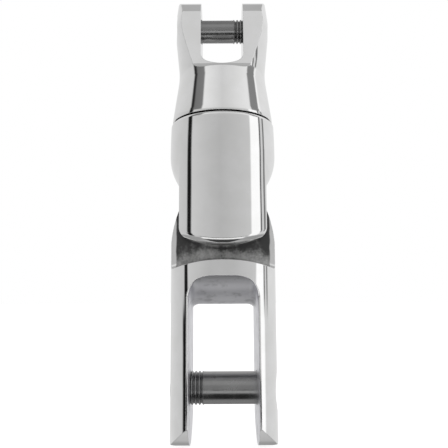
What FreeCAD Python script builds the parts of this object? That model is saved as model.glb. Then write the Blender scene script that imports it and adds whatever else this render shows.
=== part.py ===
"""Anchor swivel: a chain fork, a full-turn swivel, a side-swinging joint and an anchor fork.

The part hangs along Z.  The origin is on the chain pin's axis, midway between the chain
fork's ears; both fork pins lie along X and the joint pin lies along Y.
"""
import FreeCAD, Part
import math
import os
import re
import Sketcher
from FreeCAD import Placement, Rotation, Vector

# Driving dimensions: alias, value (millimetres), meaning.
DIMENSIONS = (
    ("chain_pin_dia", 8.0, "chain pin shank"),
    ("chain_head_dia", 11.0, "chain pin head"),
    ("chain_head_height", 3.0, "chain pin head, along the pin"),
    ("chain_shank_end", 4.2, "end of the chain pin's plain shank, towards its thread"),
    ("chain_gap", 14.8, "chain fork, clear width between the ears"),
    ("chain_slot_drop", 17.2, "chain pin axis to the bottom of the slot"),
    ("slot_floor_radius", 16.0, "chain slot, hollow of its bottom"),
    ("slot_corner_radius", 3.5, "chain slot, lower corners"),
    ("chain_end_radius", 9.7, "ends of the chain ears, about the pin axis"),
    ("chain_flat_half", 9.2, "chain ears, half depth front to back"),
    ("chain_flat_drop", 4.0, "where the ears' flats start to lean out, below the pin"),
    ("chain_lean_half", 11.6, "half depth at the lower end of the leaning flats"),
    ("chain_lean_drop", 16.5, "lower end of the leaning flats, below the pin"),
    ("chain_lip_radius", 3.0, "hollow under the leaning flats"),
    ("chain_half_width", 17.0, "chain ears, outer half width"),
    ("ear_taper", 7.6, "lean of the ears' outer sides above the pin, in degrees"),
    ("waist_radius", 15.4, "narrowest radius below the ears"),
    ("waist_drop", 17.9, "chain pin axis to the waist"),
    ("waist_curve", 25.0, "hollow of the waist, in profile"),
    ("shoulder_curve", 12.0, "roundings above and below the waist's tapers"),
    ("bell_radius", 17.7, "radius of the bell at the swivel gap"),
    ("bell_drop", 35.8, "chain pin axis to the swivel gap"),
    ("swivel_gap", 0.35, "open gap between bell and centre body"),
    ("body_top_radius", 18.1, "centre body at the swivel gap"),
    ("body_rim_radius", 1.2, "upper rim of the centre body"),
    ("body_radius", 18.4, "centre body, largest radius"),
    ("body_ball_drop", 47.8, "chain pin axis to the centre of the round underside"),
    ("collar_set_back", 0.4, "collar below the centre body's top"),
    ("collar_height", 7.0, "threaded collar"),
    ("cavity_radius", 14.0, "bore that holds the collar and the stud's flange"),
    ("washer_thick", 1.5, "upper thrust washer"),
    ("flange_height", 4.0, "flange of the swivel stud"),
    ("flange_radius", 12.5, "flange of the swivel stud"),
    ("wear_pad_thick", 1.0, "pad under the stud"),
    ("stud_radius", 6.0, "shank of the swivel stud"),
    ("stud_top_drop", 22.0, "chain pin axis to the top of the stud"),
    ("bush_wall", 1.45, "wall of both plain bushes"),
    ("seal_radius", 10.6, "swivel seal ring, mean radius"),
    ("seal_section", 1.05, "swivel seal ring, section radius"),
    ("screw_radius", 3.0, "stud lock screw"),
    ("collar_screw_radius", 2.0, "collar lock screw"),
    ("hinge_drop", 67.4, "chain pin axis to the joint pin axis"),
    ("hinge_pin_radius", 6.0, "joint pin"),
    ("hinge_plug_radius", 7.0, "plug behind the joint pin"),
    ("hinge_plug_start", 13.0, "inner end of the plug, behind the axis"),
    ("hinge_plug_face", 16.8, "outer face of the plug, behind the axis"),
    ("hinge_front_wall", 3.0, "metal left in front of the blind joint pin hole"),
    ("tab_half_width", 14.5, "front and rear tabs of the centre body, half width"),
    ("tab_inner", 6.6, "inner faces of the tabs, from the middle plane"),
    ("tab_bottom", 13.0, "joint pin axis to the tabs' lowest point"),
    ("tab_end_radius", 28.0, "lower end of the tabs"),
    ("tab_corner_radius", 4.5, "lower corners of the tabs"),
    ("pocket_rise", 14.0, "joint pin axis to the ceiling of the lug pocket"),
    ("lug_half_thick", 5.6, "lug, half thickness"),
    ("lug_top_radius", 13.4, "lug, top rounding about the joint pin"),
    ("lug_flank_radius", 40.0, "lug, side flanks"),
    ("lug_root_radius", 2.0, "hollow where the lug meets the ledges"),
    ("side_washer_radius", 12.0, "joint side washers"),
    ("ledge_drop", 17.5, "joint pin axis to the top of the ledges"),
    ("ledge_arch_radius", 56.0, "arch of the ledges"),
    ("anchor_half", 17.6, "anchor fork, half width and half depth"),
    ("anchor_corner_radius", 14.0, "anchor fork, corners of its section"),
    ("anchor_gap", 22.2, "anchor fork, clear width between the ears"),
    ("anchor_pin_drop", 126.8, "chain pin axis to the anchor pin axis"),
    ("anchor_pin_dia", 10.6, "anchor pin shank"),
    ("anchor_shank_end", 6.7, "end of the anchor pin's plain shank, towards its thread"),
    ("anchor_head_dia", 13.6, "anchor pin head"),
    ("anchor_head_height", 2.8, "anchor pin head, along the pin"),
    ("anchor_recess", 1.2, "head of the anchor pin below the ear's face"),
    ("anchor_recess_dia", 17.0, "recess round the anchor pin's head"),
    ("anchor_end_reach", 18.0, "anchor pin axis to the ends of the ears"),
    ("anchor_end_radius", 18.5, "ends of the ears, seen from the side"),
    ("ear_bottom_half", 11.9, "where the ears' ends start to round off outwards"),
    ("ear_bottom_radius", 9.0, "outer rounding of the ears' ends, seen from the front"),
    ("crown_rim_drop", 89.9, "chain pin axis to the crown's rim, front and back"),
    ("crown_low_drop", 99.0, "chain pin axis to the lowest point under the crown"),
    ("crown_corner_radius", 3.0, "corners of the slot under the crown"),
    ("slot_rim_radius", 0.4, "front and rear rims of the anchor slot"),
    ("running", 0.05, "running clearance, per side"),
    ("loose", 0.2, "loose clearance, per side"),
    ("overcut", 1.0, "how far a cut runs past the metal"),
    ("thread_pitch", 1.25, "thread of both fork pins"),
    ("thread_depth", 0.6, "thread of both fork pins"),
    ("thread_step", 0.2, "thread crests above the shank"),
    ("thread_lead", 1.45, "tip of a fork pin to its first thread groove"),
    ("shoulder_step", 0.3, "shank's shoulder under the head, above the shank"),
    ("pin_chamfer", 0.6, "tips of the fork pins"),
    ("fine_chamfer", 0.5, "small turned edges"),
    ("key_large", 8.0, "hexagon socket of the plug, across corners"),
    ("key_medium", 3.4, "hexagon socket of the stud lock screw, across corners"),
    ("key_small", 2.3, "hexagon socket of the collar lock screw, across corners"),
    ("socket_depth", 2.4, "hexagon sockets of screws and plug"),
    ("seal_groove_depth", 1.45, "groove for the swivel seal"),
    ("tab_rim_radius", 2.5, "lower outer rim of the tabs"),
    ("soft_edge", 0.8, "polished edges"),
)
ALIASES = {alias for alias, _, _ in DIMENSIONS}

doc = FreeCAD.newDocument("anchor_swivel")
sheet = doc.addObject("Spreadsheet::Sheet", "Dimensions")


def fill_sheet():
    """Put every driving dimension in the sheet, one row each."""
    for row, (alias, value, meaning) in enumerate(DIMENSIONS, start=1):
        sheet.set(f"A{row}", meaning)
        sheet.set(f"B{row}", str(value))
        sheet.setAlias(f"B{row}", alias)
    doc.recompute()


def bind(text):
    """Turn a formula in bare aliases into a FreeCAD expression on the sheet."""
    return re.sub(r"[a-z_]+", lambda m: f"Dimensions.{m[0]}" if m[0] in ALIASES else m[0], text)


def number(text):
    """Value of a formula, in millimetres."""
    return float(sheet.evalExpression(bind(text)))


# ---------------------------------------------------------------- sketch helpers

def sketch_on(body, name, role, offset=None):
    """Sketch on one of the body's own origin planes, moved along its normal by offset."""
    sketch = body.newObject("Sketcher::SketchObject", f"{body.Name}_{name}")
    plane = next(item for item in body.Origin.OriginFeatures if item.Role == role)
    sketch.AttachmentSupport = [(plane, "")]
    sketch.MapMode = "FlatFace"
    if offset:
        sketch.setExpression("AttachmentOffset.Base.z", bind(offset))
    return sketch


def place_point(sketch, geometry, position, x_text, y_text):
    """Dimension one point of the sketch from its origin."""
    for kind, axis, text in (("DistanceX", -2, x_text), ("DistanceY", -1, y_text)):
        if text == "0":
            sketch.addConstraint(Sketcher.Constraint("PointOnObject", geometry, position, axis))
            continue
        rule = Sketcher.Constraint(kind, -1, 1, geometry, position, number(text))
        index = sketch.addConstraint(rule)
        sketch.setExpression(f"Constraints[{index}]", bind(text))


def arc_edge(start, end, radius, turn):
    """Short arc from start to end; turn is 'ccw' or 'cw' along the loop."""
    chord = end - start
    rise = math.sqrt(max(radius ** 2 - chord.Length ** 2 / 4, 0))
    side = 1 if turn == "ccw" else -1
    centre = (start + end) / 2 + Vector(-chord.y, chord.x, 0) / chord.Length * rise * side
    first, last = (start, end) if turn == "ccw" else (end, start)
    angles = [math.atan2(point.y - centre.y, point.x - centre.x) for point in (first, last)]
    return Part.ArcOfCircle(Part.Circle(centre, Vector(0, 0, 1), radius), *angles)


def closed_loop(sketch, corners):
    """Closed outline.  A corner is (x, y), then radius and turn if an arc leaves it."""
    points = [Vector(number(corner[0]), number(corner[1]), 0) for corner in corners]
    ends = []
    for index, corner in enumerate(corners):
        start, end = points[index], points[(index + 1) % len(points)]
        if len(corner) == 2:
            edge = sketch.addGeometry(Part.LineSegment(start, end), False)
            ends.append((edge, 1, 2))
            continue
        radius, turn = corner[2:]
        edge = sketch.addGeometry(arc_edge(start, end, number(radius), turn), False)
        ends.append((edge, 1, 2) if turn == "ccw" else (edge, 2, 1))
    for index, (edge, first, last) in enumerate(ends):
        following = ends[(index + 1) % len(ends)]
        sketch.addConstraint(Sketcher.Constraint("Coincident", edge, last, *following[:2]))
        place_point(sketch, edge, first, *corners[index][:2])
    for (edge, _, _), corner in zip(ends, corners):
        if len(corner) == 4:
            rule = sketch.addConstraint(Sketcher.Constraint("Radius", edge, number(corner[2])))
            sketch.setExpression(f"Constraints[{rule}]", bind(corner[2]))


def rectangle(sketch, left, bottom, right, top):
    """Closed outline of an upright rectangle."""
    closed_loop(sketch, [(left, bottom), (right, bottom), (right, top), (left, top)])


# ---------------------------------------------------------------- feature helpers

def new_body(label):
    """Body that becomes one sub-part, named after its file."""
    body = doc.addObject("PartDesign::Body", label)
    body.Label = label
    return body


def feature(body, kind, name):
    return body.newObject(f"PartDesign::{kind}", f"{body.Name}_{name}")


def pad(body, sketch, length, symmetric=False):
    result = feature(body, "Pad", sketch.Name + "_pad")
    result.Profile = sketch
    result.SideType = "Symmetric" if symmetric else "One side"
    result.setExpression("Length", bind(length))
    return result


def pocket(body, sketch, length=None, outward=False):
    """Cut right through both ways, or one way by length; outward follows the normal."""
    result = feature(body, "Pocket", sketch.Name + "_cut")
    result.Profile = sketch
    if length is None:
        result.SideType = "Symmetric"
        result.Type = "ThroughAll"
    else:
        result.Reversed = outward
        result.setExpression("Length", bind(length))
    return result


def turned(body, sketch, kind="Revolution", axis="V_Axis"):
    """Turn the sketch a full circle, to add (Revolution) or to cut (Groove)."""
    result = feature(body, kind, sketch.Name + "_turn")
    result.Profile = sketch
    result.ReferenceAxis = (sketch, [axis])
    result.Angle = 360
    return result


TURN_TO = {
    "x": Rotation(Vector(0, 1, 0), 90),
    "y": Rotation(Vector(1, 0, 0), -90),
    "z": Rotation(),
}


def placed(item, axis, at):
    """Lay a primitive along an axis, its base at a point given as three formulas."""
    item.Placement = Placement(Vector(), TURN_TO[axis])
    for name, text in zip("xyz", at):
        item.setExpression(f".Placement.Base.{name}", bind(text))
    return item


def cylinder(body, kind, name, axis, at, radius, length):
    """Additive or Subtractive cylinder that starts at a point and runs along +axis."""
    result = placed(feature(body, f"{kind}Cylinder", name), axis, at)
    result.setExpression("Radius", bind(radius))
    result.setExpression("Height", bind(length))
    return result


def drill(body, name, axis, at, radius, length):
    return cylinder(body, "Subtractive", name, axis, at, radius, length)


def hex_socket(body, axis, at, across_corners, depth):
    """Hexagon socket for a key."""
    result = placed(feature(body, "SubtractivePrism", "socket"), axis, at)
    result.Polygon = 6
    result.setExpression("Circumradius", bind(f"{across_corners} / 2"))
    result.setExpression("Height", bind(depth))
    return result


def round_edges(body, name, radius, wanted):
    """Fillet the edges of the body's tip that pass the test."""
    doc.recompute()
    base = body.Tip
    names = [f"Edge{i}" for i, edge in enumerate(base.Shape.Edges, start=1) if wanted(edge)]
    if not names:
        raise ValueError(f"{body.Label}: no edges to round for {name}")
    result = feature(body, "Fillet", name)
    result.Base = (base, names)
    result.setExpression("Radius", bind(radius))
    return result


def ring(label, inner, outer, bottom, height):
    """Plain ring about Z: a washer or a bush."""
    body = new_body(label)
    sketch = sketch_on(body, "section", "XZ_Plane")
    rectangle(sketch, inner, bottom, outer, f"{bottom} + {height}")
    turned(body, sketch)
    return body


# ---------------------------------------------------------------- levels shared by sub-parts

BLANK_TOP = "(chain_end_radius + overcut)"
BODY_TOP = "(-bell_drop - swivel_gap)"
COLLAR_TOP = f"({BODY_TOP} - collar_set_back)"
COLLAR_BOTTOM = f"({COLLAR_TOP} - collar_height)"
WASHER_BOTTOM = f"({COLLAR_BOTTOM} - washer_thick)"
FLANGE_BOTTOM = f"({WASHER_BOTTOM} - running - flange_height)"
CAVITY_FLOOR = f"({FLANGE_BOTTOM} - running - wear_pad_thick)"
ANCHOR_BOTTOM = "(-anchor_pin_drop - anchor_end_reach)"
LUG_TOP = "(-hinge_drop + lug_top_radius)"


# ---------------------------------------------------------------- chain end

def waist_taper(edge_radius, drop):
    """Straight taper between an edge's rounding and the hollow of the waist.

    Gives its two ends, each as a radius from the swivel axis and a distance from the
    edge's level towards the waist.
    """
    span = f"(waist_radius + waist_curve - {edge_radius} + shoulder_curve)"
    lean = (f"(atan(({drop}) / {span})"
            f" - acos((shoulder_curve + waist_curve) / sqrt({span}^2 + ({drop})^2)))")
    outer = (f"({edge_radius} - shoulder_curve * (1 - cos({lean})))",
             f"(shoulder_curve * sin({lean}))")
    inner = (f"(waist_radius + waist_curve * (1 - cos({lean})))",
             f"({drop} - waist_curve * sin({lean}))")
    return outer, inner


def chain_fork_side_view(body):
    """Side outline, as wide as the fork: round top, flats that lean out, full bell."""
    sketch = sketch_on(body, "sides", "YZ_Plane")
    flat, lean, wide = "chain_flat_half", "chain_lean_half", "(bell_radius + overcut)"
    lip = "(chain_lean_half + chain_lip_radius)"
    lip_level = "-chain_lean_drop - chain_lip_radius"
    flat_top = "sqrt(chain_end_radius^2 - chain_flat_half^2)"
    closed_loop(sketch, [
        (wide, "-bell_drop"),
        (wide, lip_level),
        (lip, lip_level, "chain_lip_radius", "cw"),
        (lean, "-chain_lean_drop"),
        (flat, "-chain_flat_drop"),
        (flat, flat_top, "chain_end_radius", "ccw"),
        ("0", "chain_end_radius", "chain_end_radius", "ccw"),
        (f"-{flat}", flat_top),
        (f"-{flat}", "-chain_flat_drop"),
        (f"-{lean}", "-chain_lean_drop", "chain_lip_radius", "cw"),
        (f"-{lip}", lip_level),
        (f"-{wide}", lip_level),
        (f"-{wide}", "-bell_drop"),
    ])
    pad(body, sketch, "2 * (bell_radius + overcut)", symmetric=True)


def chain_fork_turning(body):
    """Turned outside: ears that lean in above the pin, hollow waist and bell."""
    upper_outer, upper_inner = waist_taper("chain_half_width", "waist_drop")
    lower_outer, lower_inner = waist_taper("bell_radius", "bell_drop - waist_drop")
    taper_start = "(shoulder_curve * sin(ear_taper))"
    taper_wide = "(chain_half_width - shoulder_curve * (1 - cos(ear_taper)))"
    clear = "(bell_radius * 2)"
    profile = sketch_on(body, "profile", "XZ_Plane")
    closed_loop(profile, [
        (clear, "-bell_drop - overcut"),
        (clear, BLANK_TOP),
        (f"{taper_wide} - ({BLANK_TOP} - {taper_start}) * tan(ear_taper)", BLANK_TOP),
        (taper_wide, taper_start, "shoulder_curve", "cw"),
        (upper_outer[0], f"-{upper_outer[1]}"),
        (upper_inner[0], f"-{upper_inner[1]}", "waist_curve", "ccw"),
        (lower_inner[0], f"-bell_drop + {lower_inner[1]}"),
        (lower_outer[0], f"-bell_drop + {lower_outer[1]}", "shoulder_curve", "cw"),
        ("bell_radius", "-bell_drop"),
        ("bell_radius", "-bell_drop - overcut"),
    ])
    turned(body, profile, kind="Groove")


def chain_fork_slot(body):
    """Slot between the ears, with rounded corners and a slightly hollow bottom."""
    sketch = sketch_on(body, "slot", "XZ_Plane")
    half, above = "(chain_gap / 2)", f"{BLANK_TOP} + overcut"
    inset = f"({half} - slot_corner_radius)"
    swing = "(slot_floor_radius - slot_corner_radius)"
    fall = f"sqrt({swing}^2 - {inset}^2)"
    floor_centre = "(slot_floor_radius - chain_slot_drop)"
    turn_level = f"{floor_centre} - {fall}"
    touch_x = f"({inset} * slot_floor_radius / {swing})"
    touch_z = f"{floor_centre} - {fall} * slot_floor_radius / {swing}"
    closed_loop(sketch, [
        (half, above),
        (f"-{half}", above),
        (f"-{half}", turn_level, "slot_corner_radius", "ccw"),
        (f"-{touch_x}", touch_z, "slot_floor_radius", "ccw"),
        (touch_x, touch_z, "slot_corner_radius", "ccw"),
        (half, turn_level),
    ])
    pocket(body, sketch)


def is_ear_top(edge):
    """Outer edges of the ears' round tops."""
    box = edge.BoundBox
    above_pin = box.ZMin > number("overcut")
    at_top = above_pin and box.ZMax > number("chain_flat_half")
    return at_top and abs(box.XMin + box.XMax) / 2 > number("chain_gap / 2 + shoulder_step * 4")


def make_chain_clevis():
    body = new_body("chain_clevis")
    chain_fork_side_view(body)
    chain_fork_turning(body)
    chain_fork_slot(body)
    round_edges(body, "ear_tops", "soft_edge", is_ear_top)
    outside = "-chain_half_width - overcut"
    drill(body, "thread_bore", "x", ("0", "0", "0"),
          "chain_pin_dia / 2 + thread_step + running", "chain_half_width + overcut")
    drill(body, "shoulder_bore", "x", (outside, "0", "0"),
          "chain_pin_dia / 2 + shoulder_step + running", "chain_half_width + overcut")
    drill(body, "head_bore", "x", (outside, "0", "0"),
          "chain_head_dia / 2 + loose / 2", "chain_head_height + 2 * overcut")
    drill(body, "stud_bore", "z", ("0", "0", "-bell_drop"), "stud_radius",
          "bell_drop - stud_top_drop")
    drill(body, "screw_bore", "z", ("0", "0", "-stud_top_drop"), "screw_radius",
          "stud_top_drop - chain_slot_drop + overcut")
    return body


def threaded_pin(label, radius, head, shank, tip):
    """Fork pin along X, drawn with its head at -X: head, shoulder, shank and thread rings.

    head is (face, radius, height) and shank is (start, end), all as formulas.
    """
    face, head_radius, head_height = head
    thread_radius = f"({radius} + thread_step)"
    shoulder_radius = f"({radius} + shoulder_step)"
    body = new_body(label)
    profile = sketch_on(body, "profile", "XZ_Plane")
    closed_loop(profile, [
        (face, "0"),
        (tip, "0"),
        (tip, f"{thread_radius} - pin_chamfer"),
        (f"{tip} - pin_chamfer", thread_radius),
        (shank[1], thread_radius),
        (shank[1], radius),
        (shank[0], radius),
        (shank[0], shoulder_radius),
        (f"{face} + {head_height}", shoulder_radius),
        (f"{face} + {head_height}", head_radius),
        (f"{face} + fine_chamfer", head_radius),
        (face, f"{head_radius} - fine_chamfer"),
    ])
    turned(body, profile, axis="H_Axis")
    first, mouth = f"{tip} - thread_lead", "thread_pitch * 0.45"
    notch = sketch_on(body, "thread", "XZ_Plane")
    closed_loop(notch, [
        (first, f"{thread_radius} - thread_depth"),
        (f"{first} + {mouth}", f"{thread_radius} + loose / 2"),
        (f"{first} - {mouth}", f"{thread_radius} + loose / 2"),
    ])
    groove = turned(body, notch, kind="Groove", axis="H_Axis")
    doc.recompute()
    rings = feature(body, "LinearPattern", "threads")
    rings.Originals = [groove]
    rings.Direction = (notch, ["H_Axis"])
    rings.Reversed = True
    rings.Mode = "Spacing"
    rings.Occurrences = 1 + int(number(f"({first} - {shank[1]}) / thread_pitch"))
    rings.setExpression("Offset", bind("thread_pitch"))
    body.Tip = rings
    hex_socket(body, "x", (face, "0", "0"), f"{head_radius} * 1.1", f"{head_height} + overcut")
    return body


def make_chain_pin():
    return threaded_pin(
        "chain_pin", "chain_pin_dia / 2",
        head=("(-chain_half_width + overcut)", "chain_head_dia / 2", "chain_head_height"),
        shank=("(-chain_gap / 2 + loose)", "chain_shank_end"),
        tip="(chain_half_width - pin_chamfer)")


# ---------------------------------------------------------------- swivel

def make_swivel_stud():
    """Flanged stud: its thread is fast in the chain fork, its flange turns in the body."""
    body = new_body("swivel_stud")
    sketch = sketch_on(body, "profile", "XZ_Plane")
    closed_loop(sketch, [
        ("0", FLANGE_BOTTOM),
        ("flange_radius - fine_chamfer", FLANGE_BOTTOM),
        ("flange_radius", f"{FLANGE_BOTTOM} + fine_chamfer"),
        ("flange_radius", f"{FLANGE_BOTTOM} + flange_height"),
        ("stud_radius", f"{FLANGE_BOTTOM} + flange_height"),
        ("stud_radius", "-stud_top_drop"),
        ("0", "-stud_top_drop"),
    ])
    turned(body, sketch)
    return body


def make_stud_lock_screw():
    body = new_body("stud_lock_screw")
    length = "(stud_top_drop - chain_slot_drop - fine_chamfer)"
    cylinder(body, "Additive", "screw", "z", ("0", "0", "-stud_top_drop"), "screw_radius", length)
    floor = f"-stud_top_drop + {length} - socket_depth"
    hex_socket(body, "z", ("0", "0", floor), "key_medium", "socket_depth + overcut")
    return body


def make_swivel_collar():
    """Ring screwed into the centre body; its top face is grooved for the seal."""
    body = ring("swivel_collar", "stud_radius + running + bush_wall", "cavity_radius",
                COLLAR_BOTTOM, "collar_height")
    groove = sketch_on(body, "seal_groove", "XZ_Plane")
    rectangle(groove, "seal_radius - seal_section - loose / 2",
              f"{COLLAR_TOP} - seal_groove_depth",
              "seal_radius + seal_section + loose / 2", f"{COLLAR_TOP} + overcut")
    turned(body, groove, kind="Groove")
    return body


def make_swivel_seal():
    """Seal ring in the collar's groove, against the bell."""
    body = new_body("swivel_seal")
    result = feature(body, "AdditiveTorus", "ring")
    placed(result, "z", ("0", "0", f"{COLLAR_TOP} - seal_groove_depth + seal_section"))
    result.setExpression("Radius1", bind("seal_radius"))
    result.setExpression("Radius2", bind("seal_section"))
    return body


def make_collar_bush():
    return ring("collar_bush", "stud_radius + running", "stud_radius + running + bush_wall",
                COLLAR_BOTTOM, "collar_height")


def make_thrust_washer():
    return ring("thrust_washer", "stud_radius + loose", "cavity_radius - loose", WASHER_BOTTOM,
                "washer_thick")


def make_wear_pad():
    body = new_body("wear_pad")
    cylinder(body, "Additive", "disc", "z", ("0", "0", CAVITY_FLOOR), "cavity_radius - loose",
             "wear_pad_thick")
    return body


def make_collar_lock_screw():
    """Radial screw at the back that keeps the collar from turning."""
    body = new_body("collar_lock_screw")
    level = f"{COLLAR_TOP} - collar_height / 2"
    cylinder(body, "Additive", "screw", "y", ("0", "cavity_radius", level),
             "collar_screw_radius", "bell_radius - cavity_radius")
    hex_socket(body, "y", ("0", "bell_radius - socket_depth", level), "key_small",
               "socket_depth + overcut")
    return body


# ---------------------------------------------------------------- centre body

def centre_blank(body):
    """Barrel with a round underside, turned about Z."""
    barrel_rise = f"({BODY_TOP} + body_ball_drop)"
    barrel_loss = "(body_radius - body_top_radius)"
    barrel_curve = f"(({barrel_rise}^2 + {barrel_loss}^2) / (2 * {barrel_loss}))"
    sketch = sketch_on(body, "barrel", "XZ_Plane")
    closed_loop(sketch, [
        ("0", BODY_TOP),
        ("0", "-body_ball_drop - body_radius", "body_radius", "ccw"),
        ("body_radius", "-body_ball_drop", barrel_curve, "ccw"),
        ("body_top_radius", BODY_TOP),
    ])
    turned(body, sketch)


def centre_tabs(body):
    """Front and rear tabs, trimmed to the barrel's radius."""
    sketch = sketch_on(body, "tabs", "XZ_Plane")
    corner_level = ("-hinge_drop - tab_bottom + tab_end_radius"
                    " - sqrt(tab_end_radius^2 - tab_half_width^2)")
    closed_loop(sketch, [
        ("-tab_half_width", "-body_ball_drop"),
        ("-tab_half_width", corner_level, "tab_end_radius", "ccw"),
        ("tab_half_width", corner_level),
        ("tab_half_width", "-body_ball_drop"),
    ])
    pad(body, sketch, "2 * (body_radius + overcut)", symmetric=True)
    trim = sketch_on(body, "trim", "XZ_Plane")
    rectangle(trim, "body_radius", "-hinge_drop - tab_bottom - overcut", "body_radius * 2",
              "-body_ball_drop")
    turned(body, trim, kind="Groove")


def centre_pocket(body):
    """Space for the lug between the tabs, closed at the sides by the barrel."""
    sketch = sketch_on(body, "pocket", "XZ_Plane")
    rectangle(sketch, "-tab_half_width", "-hinge_drop - tab_bottom - overcut", "tab_half_width",
              "-hinge_drop + pocket_rise")
    result = pocket(body, sketch, length="2 * tab_inner")
    result.SideType = "Symmetric"


def tab_corners(body):
    """Round the tabs' lower corners, from their sides to their lower end."""
    sketch = sketch_on(body, "corners", "XZ_Plane")
    swing = "(tab_end_radius - tab_corner_radius)"
    inset = "(tab_half_width - tab_corner_radius)"
    fall = f"sqrt({swing}^2 - {inset}^2)"
    end_centre = "(tab_end_radius - hinge_drop - tab_bottom)"
    side_z = f"{end_centre} - {fall}"
    touch_x = f"({inset} * tab_end_radius / {swing})"
    touch_z = f"{end_centre} - {fall} * tab_end_radius / {swing}"
    clear, below = "(tab_half_width + overcut)", "-hinge_drop - tab_bottom - overcut"
    for sign, turn in (("", "ccw"), ("-", "cw")):
        closed_loop(sketch, [
            (sign + touch_x, touch_z, "tab_corner_radius", turn),
            (sign + "tab_half_width", side_z),
            (sign + clear, side_z),
            (sign + clear, below),
            (sign + touch_x, below),
        ])
    pocket(body, sketch)


def is_tab_rim(edge):
    """Lower outer rim of the tabs, where their ends meet the barrel's radius."""
    middle = edge.valueAt((edge.FirstParameter + edge.LastParameter) / 2)
    on_barrel = abs(math.hypot(middle.x, middle.y) - number("body_radius")) < number("running")
    low = edge.BoundBox.ZMax < number("-hinge_drop - tab_bottom / 2")
    return on_barrel and low and edge.BoundBox.XLength > number("tab_half_width")


def make_centre_body():
    body = new_body("centre_body")
    centre_blank(body)
    round_edges(body, "top_rim", "body_rim_radius",
                lambda edge: edge.BoundBox.ZMin > number(BODY_TOP) - 0.1
                and edge.BoundBox.XLength > 1)
    centre_tabs(body)
    round_edges(body, "tab_rims", "tab_rim_radius", is_tab_rim)
    tab_corners(body)
    centre_pocket(body)
    drill(body, "cavity", "z", ("0", "0", CAVITY_FLOOR), "cavity_radius",
          f"{BODY_TOP} - {CAVITY_FLOOR} + overcut")
    front = "-body_radius + hinge_front_wall"
    drill(body, "pin_hole", "y", ("0", front, "-hinge_drop"), "hinge_pin_radius",
          "2 * body_radius")
    drill(body, "plug_hole", "y", ("0", "hinge_plug_start", "-hinge_drop"),
          "hinge_plug_radius", "body_radius")
    drill(body, "collar_screw_hole", "y",
          ("0", "cavity_radius - overcut", f"{COLLAR_TOP} - collar_height / 2"),
          "collar_screw_radius", "body_radius")
    return body


def make_hinge_pin():
    body = new_body("hinge_pin")
    cylinder(body, "Additive", "pin", "y",
             ("0", "-body_radius + hinge_front_wall", "-hinge_drop"), "hinge_pin_radius",
             "body_radius - hinge_front_wall + hinge_plug_start")
    return body


def make_hinge_plug():
    """Screwed plug that closes the joint pin's hole at the back."""
    body = new_body("hinge_plug")
    cylinder(body, "Additive", "plug", "y", ("0", "hinge_plug_start", "-hinge_drop"),
             "hinge_plug_radius", "hinge_plug_face - hinge_plug_start")
    hex_socket(body, "y", ("0", "hinge_plug_face - socket_depth", "-hinge_drop"), "key_large",
               "socket_depth + overcut")
    return body


def make_side_washer(label, near_face):
    """Thin washer between the lug and one tab; near_face is its lower Y."""
    body = new_body(label)
    at = ("0", near_face, "-hinge_drop")
    thickness = "tab_inner - lug_half_thick - 2 * running"
    cylinder(body, "Additive", "disc", "y", at, "side_washer_radius", thickness)
    drill(body, "hole", "y", at, "hinge_pin_radius + running", thickness)
    return body


# ---------------------------------------------------------------- anchor end

def anchor_blank(body):
    """Bar with a rounded square section, from the anchor end to the top of the lug."""
    sketch = sketch_on(body, "section", "XY_Plane", offset=f"{ANCHOR_BOTTOM} - overcut")
    side, flat = "anchor_half", "(anchor_half - anchor_corner_radius)"
    corner = ("anchor_corner_radius", "ccw")
    closed_loop(sketch, [
        (side, f"-{flat}"), (side, flat, *corner),
        (flat, side), (f"-{flat}", side, *corner),
        (f"-{side}", flat), (f"-{side}", f"-{flat}", *corner),
        (f"-{flat}", f"-{side}"), (flat, f"-{side}", *corner),
    ])
    pad(body, sketch, f"{LUG_TOP} - {ANCHOR_BOTTOM} + 2 * overcut")


def anchor_lug_outline(body):
    """Sides of the lug: round top about the joint pin, running into full flanks."""
    sketch = sketch_on(body, "flanks", "XZ_Plane")
    swing = "(lug_flank_radius - lug_top_radius)"
    fall = f"sqrt({swing}^2 - (lug_flank_radius - anchor_half)^2)"
    touch_x = f"((lug_flank_radius - anchor_half) * lug_top_radius / {swing})"
    touch_z = f"-hinge_drop + {fall} * lug_top_radius / {swing}"
    flank_end = f"-hinge_drop - {fall}"
    clear, above = "(anchor_half + overcut)", f"{LUG_TOP} + 2 * overcut"
    closed_loop(sketch, [
        ("anchor_half", flank_end, "lug_flank_radius", "ccw"),
        (touch_x, touch_z, "lug_top_radius", "ccw"),
        ("0", LUG_TOP, "lug_top_radius", "ccw"),
        (f"-{touch_x}", touch_z, "lug_flank_radius", "ccw"),
        ("-anchor_half", flank_end),
        (f"-{clear}", flank_end),
        (f"-{clear}", above),
        (clear, above),
        (clear, flank_end),
    ])
    pocket(body, sketch)


def anchor_ledges(body):
    """Cut the bar down to the lug, front and back, above the arched ledges."""
    reach, above = "(anchor_half + overcut)", f"{LUG_TOP} + 2 * overcut"
    side_level = (f"-hinge_drop - ledge_drop - ledge_arch_radius"
                  f" + sqrt(ledge_arch_radius^2 - {reach}^2)")
    for name, offset, outward in (("front", "lug_half_thick", True),
                                  ("rear", "-lug_half_thick", False)):
        sketch = sketch_on(body, f"ledge_{name}", "XZ_Plane", offset=offset)
        closed_loop(sketch, [
            (reach, side_level, "ledge_arch_radius", "ccw"),
            (f"-{reach}", side_level),
            (f"-{reach}", above),
            (reach, above),
        ])
        pocket(body, sketch, length="anchor_half", outward=outward)


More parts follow.
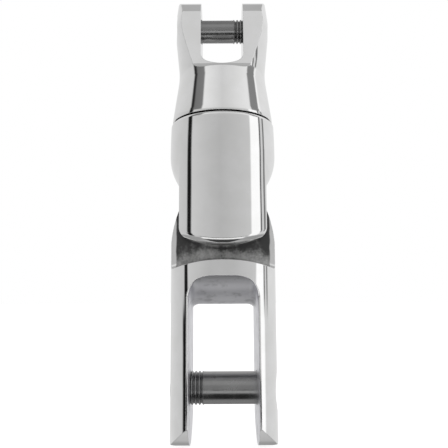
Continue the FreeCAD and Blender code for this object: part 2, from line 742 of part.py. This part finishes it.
def anchor_round_end(body):
    """Ears' ends: an arc seen from the side, and rounded off outwards seen from the front."""
    clear, below = "(anchor_half + overcut)", f"{ANCHOR_BOTTOM} - 2 * overcut"
    crease = (f"{ANCHOR_BOTTOM} + anchor_end_radius"
              " - sqrt(anchor_end_radius^2 - anchor_half^2)")
    side = sketch_on(body, "end", "YZ_Plane")
    closed_loop(side, [
        ("-anchor_half", crease, "anchor_end_radius", "ccw"),
        ("0", ANCHOR_BOTTOM, "anchor_end_radius", "ccw"),
        ("anchor_half", crease),
        (clear, crease),
        (clear, below),
        (f"-{clear}", below),
        (f"-{clear}", crease),
    ])
    pocket(body, side)
    level = (f"{ANCHOR_BOTTOM} + ear_bottom_radius"
             " - sqrt(ear_bottom_radius^2 - (anchor_half - ear_bottom_half)^2)")
    front = sketch_on(body, "ear_bottoms", "XZ_Plane")
    closed_loop(front, [
        ("-anchor_half", level, "ear_bottom_radius", "ccw"),
        ("-ear_bottom_half", ANCHOR_BOTTOM),
        ("ear_bottom_half", ANCHOR_BOTTOM, "ear_bottom_radius", "ccw"),
        ("anchor_half", level),
        (clear, level),
        (clear, below),
        (f"-{clear}", below),
        (f"-{clear}", level),
    ])
    pocket(body, front)


def anchor_slot(body):
    """Slot between the ears; the crown above it bellies down in the middle."""
    sketch = sketch_on(body, "slot", "XZ_Plane")
    rectangle(sketch, "-anchor_gap / 2", f"{ANCHOR_BOTTOM} - 2 * overcut", "anchor_gap / 2",
              "-crown_low_drop")
    pocket(body, sketch)
    belly = sketch_on(body, "belly", "YZ_Plane")
    sag = "(crown_low_drop - crown_rim_drop)"
    curve = f"((anchor_half^2 + {sag}^2) / (2 * {sag}))"
    closed_loop(belly, [
        ("-anchor_half", "-crown_rim_drop", curve, "ccw"),
        ("0", "-crown_low_drop", curve, "ccw"),
        ("anchor_half", "-crown_rim_drop"),
        ("anchor_half", "-crown_low_drop - overcut"),
        ("-anchor_half", "-crown_low_drop - overcut"),
    ])
    pocket(body, belly, length="anchor_gap").SideType = "Symmetric"


def is_slot_corner(edge):
    """Edges where the slot's sides meet the underside of the crown."""
    box = edge.BoundBox
    on_side = box.XLength < 0.01 and abs(abs(box.XMin) - number("anchor_gap / 2")) < 0.01
    return on_side and box.YLength > 10 and box.ZMin > number("-crown_low_drop - 0.1")


def is_slot_rim(edge):
    """Front and rear edges of the slot, down the ears and under the crown."""
    box = edge.BoundBox
    middle = edge.valueAt((edge.FirstParameter + edge.LastParameter) / 2)
    in_slot = max(abs(box.XMin), abs(box.XMax)) < number("anchor_gap / 2 + running")
    below_crown = box.ZMin < number("-crown_rim_drop + overcut")
    return in_slot and below_crown and abs(middle.y) > number("anchor_corner_radius")


def is_ledge_root(edge):
    """Edges where the ledges meet the faces of the lug."""
    box = edge.BoundBox
    on_face = box.YLength < 0.01 and abs(abs(box.YMin) - number("lug_half_thick")) < 0.01
    return on_face and box.ZMax < number("-hinge_drop - ledge_drop + 0.1")


def make_anchor_clevis():
    body = new_body("anchor_clevis")
    anchor_blank(body)
    anchor_lug_outline(body)
    anchor_ledges(body)
    anchor_round_end(body)
    anchor_slot(body)
    round_edges(body, "slot_corners", "crown_corner_radius", is_slot_corner)
    round_edges(body, "slot_rims", "slot_rim_radius", is_slot_rim)
    round_edges(body, "ledge_roots", "lug_root_radius", is_ledge_root)
    drill(body, "bush_hole", "y", ("0", "-lug_half_thick - overcut", "-hinge_drop"),
          "hinge_pin_radius + running + bush_wall", "2 * (lug_half_thick + overcut)")
    drill(body, "thread_bore", "x", ("-anchor_half - overcut", "0", "-anchor_pin_drop"),
          "anchor_pin_dia / 2 + thread_step + running", "anchor_half + overcut")
    drill(body, "shoulder_bore", "x", ("0", "0", "-anchor_pin_drop"),
          "anchor_pin_dia / 2 + shoulder_step + running", "anchor_half + overcut")
    head_depth = "(anchor_recess + anchor_head_height)"
    drill(body, "head_bore", "x", (f"anchor_half - {head_depth}", "0", "-anchor_pin_drop"),
          "anchor_recess_dia / 2", f"{head_depth} + overcut")
    return body


def make_hinge_bush():
    body = new_body("hinge_bush")
    at = ("0", "-lug_half_thick", "-hinge_drop")
    cylinder(body, "Additive", "tube", "y", at, "hinge_pin_radius + running + bush_wall",
             "2 * lug_half_thick")
    drill(body, "hole", "y", at, "hinge_pin_radius + running", "2 * lug_half_thick")
    return body


def make_anchor_pin():
    """Same form as the chain pin, turned round so that its head is at +X."""
    body = threaded_pin(
        "anchor_pin", "anchor_pin_dia / 2",
        head=("(-anchor_half + anchor_recess)", "anchor_head_dia / 2", "anchor_head_height"),
        shank=("(-anchor_gap / 2 + loose)", "anchor_shank_end"), tip="anchor_half")
    body.Placement = Placement(Vector(), Rotation(Vector(0, 0, 1), 180))
    body.setExpression(".Placement.Base.z", bind("-anchor_pin_drop"))
    return body


# ---------------------------------------------------------------- checks and export

def check_features():
    """Every object must be sound, and every cut must take metal away."""
    for item in doc.Objects:
        if {"Invalid", "Error"} & set(item.State):
            raise RuntimeError(f"{item.Label} failed: {item.State}")
        base = getattr(item, "BaseFeature", None)
        if base is None or not item.isDerivedFrom("PartDesign::Feature"):
            continue
        kind = item.TypeId.split("::")[1]
        if kind.startswith(("Pocket", "Groove", "Subtractive")):
            if item.Shape.Volume > base.Shape.Volume - 0.01:
                raise RuntimeError(f"{item.Label} cuts nothing")


def export(bodies):
    os.makedirs("parts", exist_ok=True)
    for body in bodies:
        shape = body.Shape
        if shape.isNull() or not shape.isValid() or len(shape.Solids) != 1:
            raise RuntimeError(f"{body.Label}: its shape is not one valid solid")
        shape.exportStep(f"parts/{body.Label}.step")
        box = shape.BoundBox
        print(f"{body.Label:20s} {shape.Volume:9.1f} mm3  x {box.XMin:7.2f} {box.XMax:7.2f}"
              f"  y {box.YMin:7.2f} {box.YMax:7.2f}  z {box.ZMin:8.2f} {box.ZMax:8.2f}")


fill_sheet()
sub_parts = [
    make_chain_clevis(),
    make_chain_pin(),
    make_swivel_stud(),
    make_stud_lock_screw(),
    make_swivel_collar(),
    make_swivel_seal(),
    make_collar_bush(),
    make_thrust_washer(),
    make_wear_pad(),
    make_collar_lock_screw(),
    make_centre_body(),
    make_hinge_pin(),
    make_hinge_plug(),
    make_side_washer("hinge_washer_front", "-tab_inner + running"),
    make_side_washer("hinge_washer_rear", "lug_half_thick + running"),
    make_anchor_clevis(),
    make_hinge_bush(),
    make_anchor_pin(),
]
doc.recompute()
check_features()
export(sub_parts)
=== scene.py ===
"""Looks of the anchor swivel: mirror-polished castings, satin pins, bearings and studio."""
import math
import bpy
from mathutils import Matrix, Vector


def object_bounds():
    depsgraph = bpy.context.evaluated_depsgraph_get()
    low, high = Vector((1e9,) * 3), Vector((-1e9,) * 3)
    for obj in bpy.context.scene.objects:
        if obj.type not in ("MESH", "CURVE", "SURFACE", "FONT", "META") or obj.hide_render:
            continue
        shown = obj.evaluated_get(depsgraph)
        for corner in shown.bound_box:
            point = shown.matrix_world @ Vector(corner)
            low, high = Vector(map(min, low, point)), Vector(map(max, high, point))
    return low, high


MM = 0.001

# Camera: below the middle of the part, looking slightly up.
CAMERA_PLACE = (0, -186 * MM, -96.8 * MM)
CAMERA_LENS = 43.07
CAMERA_TILT = 7.8
CAMERA_ROLL = 0.3
CAMERA_NEAR = 0.01
IMAGE_SIZE = 448
SIDE_SHIFT = 0.7 / IMAGE_SIZE

# Anchor fork: where its cast skin and its satin faces are, from the chain pin's axis.
LEDGE_LEVEL = -85.0 * MM
LEDGE_CURVE = 112 * MM
LEDGE_BLUR = 0.1 * MM
CAST_HALF_WIDTH = 15.8 * MM
CAST_SIDE_BLUR = 0.25 * MM
CAST_SIDE_WOBBLE = 0.5 * MM
LUG_FACE = (5.2 * MM, 5.4 * MM)
# Heights over the ledge through which painted shade, standing in for the shade under the tab,
# grows darker upwards on the cast skin.
SHADE_UNDER_TAB_RISE = (2.5 * MM, 6.5 * MM)
CROWN_TOP = -89.8 * MM
CROWN_BOTTOM = (-102.4 * MM, -102.2 * MM)
SLOT_HALF_WIDTH = 11.7 * MM
SLOT_BLUR = 0.1 * MM

# Share of a noise texture's range that holds nearly all of its values.
NOISE_MIDDLE = (0.3, 0.7)

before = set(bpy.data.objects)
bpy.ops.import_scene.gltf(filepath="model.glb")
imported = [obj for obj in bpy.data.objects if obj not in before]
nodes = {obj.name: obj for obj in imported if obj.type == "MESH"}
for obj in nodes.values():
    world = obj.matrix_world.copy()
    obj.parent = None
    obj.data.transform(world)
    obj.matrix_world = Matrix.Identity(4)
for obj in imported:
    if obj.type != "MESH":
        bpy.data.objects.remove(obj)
cad_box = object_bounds()


# ---------------------------------------------------------------- shader helpers

def rgb(red, green=None, blue=None):
    """Opaque colour, grey when only one value is given."""
    return (red, red if green is None else green, red if blue is None else blue, 1)


class Shader:
    """Small wrapper that adds and links shader nodes."""

    # Colour inputs and output of the Mix node, which shares its names among data types.
    MIX_FACTOR, MIX_FIRST, MIX_SECOND, MIX_RESULT = 0, 6, 7, 2

    def __init__(self, tree):
        self.tree = tree
        tree.nodes.clear()

    def node(self, kind, **settings):
        item = self.tree.nodes.new(kind)
        for key, value in settings.items():
            setattr(item, key, value)
        return item

    def feed(self, socket, source):
        """Set a socket from a number, a colour or another node's output."""
        if isinstance(source, bpy.types.NodeSocket):
            self.tree.links.new(source, socket)
        else:
            socket.default_value = source

    def place(self, output="Object"):
        return self.node("ShaderNodeTexCoord").outputs[output]

    def split(self, vector):
        item = self.node("ShaderNodeSeparateXYZ")
        self.feed(item.inputs[0], vector)
        return item.outputs

    def maths(self, operation, *inputs):
        item = self.node("ShaderNodeMath", operation=operation)
        for socket, source in zip(item.inputs, inputs):
            self.feed(socket, source)
        return item.outputs[0]

    def span(self, value, low, high, out_low=0.0, out_high=1.0):
        """Map a value from one range to another, smoothly and clamped."""
        item = self.node("ShaderNodeMapRange", interpolation_type="SMOOTHSTEP")
        for name, source in (("Value", value), ("From Min", low), ("From Max", high),
                             ("To Min", out_low), ("To Max", out_high)):
            self.feed(item.inputs[name], source)
        return item.outputs[0]

    def inside(self, value, limit, blur):
        """One where the value is below the limit, zero above, over a soft border."""
        return self.span(value, limit - blur, limit + blur, 1.0, 0.0)

    def blend(self, factor, first, second):
        item = self.node("ShaderNodeMix", data_type="RGBA")
        for index, source in ((self.MIX_FACTOR, factor), (self.MIX_FIRST, first),
                              (self.MIX_SECOND, second)):
            self.feed(item.inputs[index], source)
        return item.outputs[self.MIX_RESULT]

    def ramp(self, value, stops):
        """Grey ramp through (position, tone) stops."""
        item = self.node("ShaderNodeValToRGB")
        self.feed(item.inputs[0], value)
        elements = item.color_ramp.elements
        while len(elements) < len(stops):
            elements.new(1.0)
        for element, (position, tone) in zip(elements, stops):
            element.position = position
            element.color = rgb(tone)
        return item.outputs[0]

    def noise(self, coordinate, scale, detail=2.0, roughness=0.5, stretch=None):
        if stretch:
            mapping = self.node("ShaderNodeMapping")
            mapping.inputs["Scale"].default_value = stretch
            self.feed(mapping.inputs["Vector"], coordinate)
            coordinate = mapping.outputs[0]
        item = self.node("ShaderNodeTexNoise")
        for name, source in (("Vector", coordinate), ("Scale", scale), ("Detail", detail),
                             ("Roughness", roughness)):
            self.feed(item.inputs[name], source)
        return item.outputs[0]

    def bump(self, height, strength, distance, normal=None):
        item = self.node("ShaderNodeBump")
        self.feed(item.inputs["Height"], height)
        self.feed(item.inputs["Strength"], strength)
        self.feed(item.inputs["Distance"], distance)
        if normal is not None:
            self.feed(item.inputs["Normal"], normal)
        return item.outputs[0]

    def soft_corners(self, radius):
        """Normals of edges broken by polishing."""
        item = self.node("ShaderNodeBevel", samples=6)
        self.feed(item.inputs["Radius"], radius)
        return item.outputs[0]

    def principled(self, **sockets):
        item = self.node("ShaderNodeBsdfPrincipled")
        for name, source in sockets.items():
            self.feed(item.inputs[name.replace("_", " ")], source)
        output = self.node("ShaderNodeOutputMaterial")
        self.feed(output.inputs["Surface"], item.outputs[0])


def new_material(name):
    material = bpy.data.materials.new(name)
    material.use_nodes = True
    return material, Shader(material.node_tree)


# ---------------------------------------------------------------- materials

def polished_nodes(shader, place):
    """Mirror-polished stainless casting with faint buffing marks."""
    waves = shader.noise(place, 70, detail=1)
    swirls = shader.noise(place, 1400, detail=4, stretch=(1, 1, 0.15))
    haze = shader.noise(place, 160, detail=5)
    colour = shader.blend(shader.span(haze, *NOISE_MIDDLE), rgb(0.86, 0.86, 0.855), rgb(0.90))
    roughness = shader.span(haze, 0.35, 0.75, 0.03, 0.07)
    slow = shader.bump(waves, 0.12, 0.4 * MM, shader.soft_corners(0.35 * MM))
    normal = shader.bump(swirls, 0.05, 0.02 * MM, slow)
    return colour, roughness, normal


def polished_steel(name):
    material, shader = new_material(name)
    colour, roughness, normal = polished_nodes(shader, shader.place())
    shader.principled(Base_Color=colour, Metallic=1.0, Roughness=roughness, Normal=normal)
    return material


def height_over_ledge(shader, x, z):
    """Height above the curved ledge at the foot of the cast skin."""
    squared = shader.maths("MULTIPLY", x, x)
    ledge = shader.maths("MULTIPLY_ADD", squared, -1 / LEDGE_CURVE, LEDGE_LEVEL)
    return shader.maths("SUBTRACT", z, ledge)


def cast_mask(shader, place, across, depth, over_ledge):
    """One on the lug's skin, which is left as cast."""
    centred = shader.maths("SUBTRACT", shader.noise(place, 300), 0.5)
    wobble = shader.maths("MULTIPLY", centred, CAST_SIDE_WOBBLE)
    above_ledge = shader.span(over_ledge, -LEDGE_BLUR, LEDGE_BLUR)
    off_flank = shader.inside(shader.maths("ADD", across, wobble), CAST_HALF_WIDTH,
                              CAST_SIDE_BLUR)
    on_face = shader.span(depth, *LUG_FACE)
    return shader.maths("MULTIPLY", shader.maths("MULTIPLY", above_ledge, off_flank), on_face)


def satin_mask(shader, across, z):
    """One under the crown and on the inner faces of the ears."""
    facing_x, _, facing_z = shader.split(shader.place("Normal"))
    crown_height = shader.maths("MULTIPLY", shader.inside(z, CROWN_TOP, SLOT_BLUR),
                                shader.span(z, *CROWN_BOTTOM))
    downward = shader.inside(facing_z, -0.3, 0.05)
    crown = shader.maths("MULTIPLY", crown_height, downward)
    sideways = shader.span(shader.maths("ABSOLUTE", facing_x), 0.9, 0.95)
    inner = shader.maths("MULTIPLY", shader.inside(across, SLOT_HALF_WIDTH, SLOT_BLUR), sideways)
    return shader.maths("MAXIMUM", crown, inner)


def part_polished_steel(name):
    """Anchor fork: polished outside, as cast about the lug with painted shade under the tab, and
    satin inside the slot.
    """
    material, shader = new_material(name)
    place = shader.place()
    x, y, z = shader.split(place)
    across = shader.maths("ABSOLUTE", x)
    over_ledge = height_over_ledge(shader, x, z)
    cast = cast_mask(shader, place, across, shader.maths("ABSOLUTE", y), over_ledge)
    satin = satin_mask(shader, across, z)

    colour, roughness, normal = polished_nodes(shader, place)
    grain = shader.noise(place, 1500, detail=6, roughness=0.7)
    patches = shader.noise(place, 230, detail=4, roughness=0.6)
    # Painted shade: the cast skin is darkened upwards towards the tab in place of the shade
    # under it; grain and patches are the casting's own tone.
    shade_under_tab = shader.span(over_ledge, *SHADE_UNDER_TAB_RISE)
    cast_tone_and_shade = shader.maths("SUBTRACT", shader.maths("MULTIPLY_ADD", grain, 0.6, patches),
                             shader.maths("MULTIPLY", shade_under_tab, 0.45))
    cast_colour_and_shade = shader.blend(shader.span(cast_tone_and_shade, 0.35, 1.0), rgb(0.10),
                               rgb(0.66, 0.66, 0.655))
    satin_colour = shader.blend(shader.span(patches, 0.30, 0.50), rgb(0.66, 0.66, 0.68),
                                rgb(0.90, 0.90, 0.93))
    base = shader.blend(satin, shader.blend(cast, colour, cast_colour_and_shade), satin_colour)
    rough = shader.maths("ADD", roughness, shader.maths("MULTIPLY", cast, 0.5))
    rough = shader.maths("ADD", rough, shader.maths("MULTIPLY", satin, 0.35))
    coarse = shader.maths("MAXIMUM", cast, shader.maths("MULTIPLY", satin, 0.12))
    texture = shader.bump(shader.maths("MULTIPLY", grain, coarse), 0.6, 0.12 * MM, normal)
    shader.principled(Base_Color=base, Metallic=1.0, Roughness=rough, Normal=texture)
    return material


def satin_steel(name, tone):
    """Turned stainless: round tool marks and a soft sheen."""
    material, shader = new_material(name)
    place = shader.place()
    marks = shader.noise(place, 2500, detail=3, stretch=(1, 0.1, 0.1))
    haze = shader.noise(place, 220, detail=4)
    colour = shader.blend(haze, rgb(tone * 0.85), rgb(tone * 1.1))
    roughness = shader.span(haze, *NOISE_MIDDLE, 0.20, 0.28)
    normal = shader.bump(marks, 0.10, 0.03 * MM, shader.soft_corners(0.15 * MM))
    shader.principled(Base_Color=colour, Metallic=1.0, Roughness=roughness, Normal=normal)
    return material


def plain(name, colour, roughness, metallic=0.0):
    """Finely grained surface of one colour: bronze, plastic or rubber."""
    material, shader = new_material(name)
    grain = shader.noise(shader.place(), 900, detail=4)
    light = rgb(*(min(1, channel * 1.1) for channel in colour))
    dark = rgb(*(channel * 0.85 for channel in colour))
    shader.principled(
        Base_Color=shader.blend(grain, dark, light), Metallic=metallic,
        Roughness=shader.span(grain, *NOISE_MIDDLE, roughness - 0.05, roughness + 0.05),
        Normal=shader.bump(grain, 0.15, 0.03 * MM))
    return material


def dress(names, material):
    for name in names:
        nodes[name].data.materials.clear()
        nodes[name].data.materials.append(material)


def dress_all():
    dress(("chain_clevis", "centre_body"), polished_steel("polished_steel"))
    dress(("anchor_clevis",), part_polished_steel("part_polished_steel"))
    dress(("chain_pin", "anchor_pin", "hinge_pin", "swivel_stud"),
          satin_steel("pin_steel", 0.32))
    dress(("swivel_collar", "hinge_plug", "stud_lock_screw", "collar_lock_screw"),
          satin_steel("screw_steel", 0.55))
    dress(("collar_bush", "hinge_bush", "thrust_washer"),
          plain("bush_bronze", (0.55, 0.36, 0.16), 0.35, 1.0))
    dress(("wear_pad", "hinge_washer_front", "hinge_washer_rear"),
          plain("wear_plastic", (0.80, 0.79, 0.74), 0.45))
    dress(("swivel_seal",), plain("seal_rubber", (0.02, 0.02, 0.02), 0.6))


# ---------------------------------------------------------------- studio

# Cards and flags about the part, as (azimuth, tone): 0 is towards the camera, + to the right.
LOW_BANDS = (
    (-180, 0.80), (-89, 0.60), (-85, 0.01), (-72, 0.01), (-69, 0.60), (0, 0.52), (60, 0.62),
    (63, 1.10), (88, 1.10), (92, 0.68), (110, 0.72), (180, 0.80))
LEVEL_BANDS = (
    (-180, 0.80), (-83, 0.58), (-80, 0.01), (-72, 0.01), (-69, 0.64), (-5, 0.50), (61, 0.62),
    (64, 1.10), (86, 1.10), (88, 0.08), (90, 0.08), (92, 0.68), (97, 0.68), (99, 0.12),
    (101, 0.12), (104, 0.76), (180, 0.80))
RAISED_BANDS = (
    (-180, 0.80), (-84, 0.64), (-80, 0.02), (-75, 0.03), (-71, 0.18), (-51, 0.21), (-47, 0.86),
    (0, 0.66), (62, 0.84), (71, 0.84), (74, 0.24), (96, 0.24), (99, 1.05), (106, 0.80),
    (180, 0.80))
CEILING_TONE = 0.45
# Tones below the part, as (elevation, tone), in front of it and at its sides.
FRONT_TONES = (
    (-90, 0.56), (-84, 0.56), (-78, 0.05), (-35, 0.05), (-29, 0.95), (-15, 0.95), (-12, 0.04),
    (-9, 0.04), (-7, 0.60))
SIDE_TONES = ((-90, 0.56), (-60, 0.50), (-45, 0.34), (-24, 0.34), (-18, 0.55))
# Elevations over which one set of bands gives way to the next.
LOW_TO_LEVEL = (-3, 1)
LEVEL_TO_RAISED = (24, 27)
RAISED_TO_CEILING = (54, 60)
FRONT_TO_WALLS = (-8, -6)
SIDE_TO_WALLS = (-20, -15)
# Azimuths over which the front tones give way to the side tones.
FRONT_TO_SIDE = (50, 60)

FLOOR_WIDTH = 8
FLOOR_GLOW = 0.8


def at_azimuth(degrees):
    return 0.5 + degrees / 360


def at_elevation(degrees):
    return 0.5 + degrees / 180


def bands(shader, around, stops):
    return shader.ramp(around, [(at_azimuth(azimuth), tone) for azimuth, tone in stops])


def heights(shader, height, stops):
    return shader.ramp(height, [(at_elevation(elevation), tone) for elevation, tone in stops])


def studio_tones(shader):
    """Tone that a reflection meets in each direction."""
    x, y, z = shader.split(shader.place("Generated"))
    azimuth = shader.maths("ARCTAN2", x, shader.maths("MULTIPLY", y, -1))
    around = shader.maths("MULTIPLY_ADD", azimuth, 0.5 / math.pi, 0.5)
    height = shader.maths("MULTIPLY_ADD", shader.maths("ARCSINE", z), 1 / math.pi, 0.5)

    def above(low, high):
        return shader.span(height, at_elevation(low), at_elevation(high))

    lower = shader.blend(above(*LOW_TO_LEVEL), bands(shader, around, LOW_BANDS),
                         bands(shader, around, LEVEL_BANDS))
    walls = shader.blend(above(*LEVEL_TO_RAISED), lower, bands(shader, around, RAISED_BANDS))
    room = shader.blend(above(*RAISED_TO_CEILING), walls, rgb(CEILING_TONE))
    sides = shader.blend(above(*SIDE_TO_WALLS), heights(shader, height, SIDE_TONES), room)
    front = shader.blend(above(*FRONT_TO_WALLS), heights(shader, height, FRONT_TONES), room)
    to_side = shader.span(shader.maths("ABSOLUTE", azimuth),
                          *(math.radians(degrees) for degrees in FRONT_TO_SIDE))
    return shader.blend(to_side, front, sides)


def make_world():
    """Studio that lights the part and is seen in it, with a plain white backdrop."""
    world = bpy.data.worlds.new("studio")
    bpy.context.scene.world = world
    world.use_nodes = True
    shader = Shader(world.node_tree)
    mixer = shader.node("ShaderNodeMixShader")
    seen_directly = shader.node("ShaderNodeLightPath").outputs["Is Camera Ray"]
    shader.feed(mixer.inputs[0], seen_directly)
    for socket, colour in zip(mixer.inputs[1:], (studio_tones(shader), rgb(1))):
        light = shader.node("ShaderNodeBackground")
        shader.feed(light.inputs["Color"], colour)
        shader.feed(socket, light.outputs[0])
    output = shader.node("ShaderNodeOutputWorld")
    shader.feed(output.inputs["Surface"], mixer.outputs[0])


def make_floor():
    """Pale floor just under the part, bright enough to meet the backdrop unseen."""
    bpy.ops.mesh.primitive_plane_add(size=FLOOR_WIDTH, location=(0, 0, cad_box[0].z))
    floor = bpy.context.object
    floor.name = "floor"
    floor.visible_glossy = False
    material, shader = new_material("floor_white")
    grain = shader.noise(shader.place(), 60, detail=3)
    shader.principled(Base_Color=shader.blend(grain, rgb(0.50), rgb(0.56)),
                      Roughness=shader.span(grain, *NOISE_MIDDLE, 0.75, 0.85),
                      Emission_Color=rgb(1), Emission_Strength=FLOOR_GLOW)
    floor.data.materials.append(material)


def make_camera():
    camera = bpy.data.objects.new("camera", bpy.data.cameras.new("camera"))
    bpy.context.collection.objects.link(camera)
    camera.location = CAMERA_PLACE
    camera.rotation_euler = (math.radians(90 + CAMERA_TILT), math.radians(CAMERA_ROLL), 0)
    camera.data.lens = CAMERA_LENS
    camera.data.shift_x = SIDE_SHIFT
    camera.data.clip_start = CAMERA_NEAR
    bpy.context.scene.camera = camera


dress_all()
make_world()
make_floor()
make_camera()
bpy.context.scene.view_settings.view_transform = "Standard"
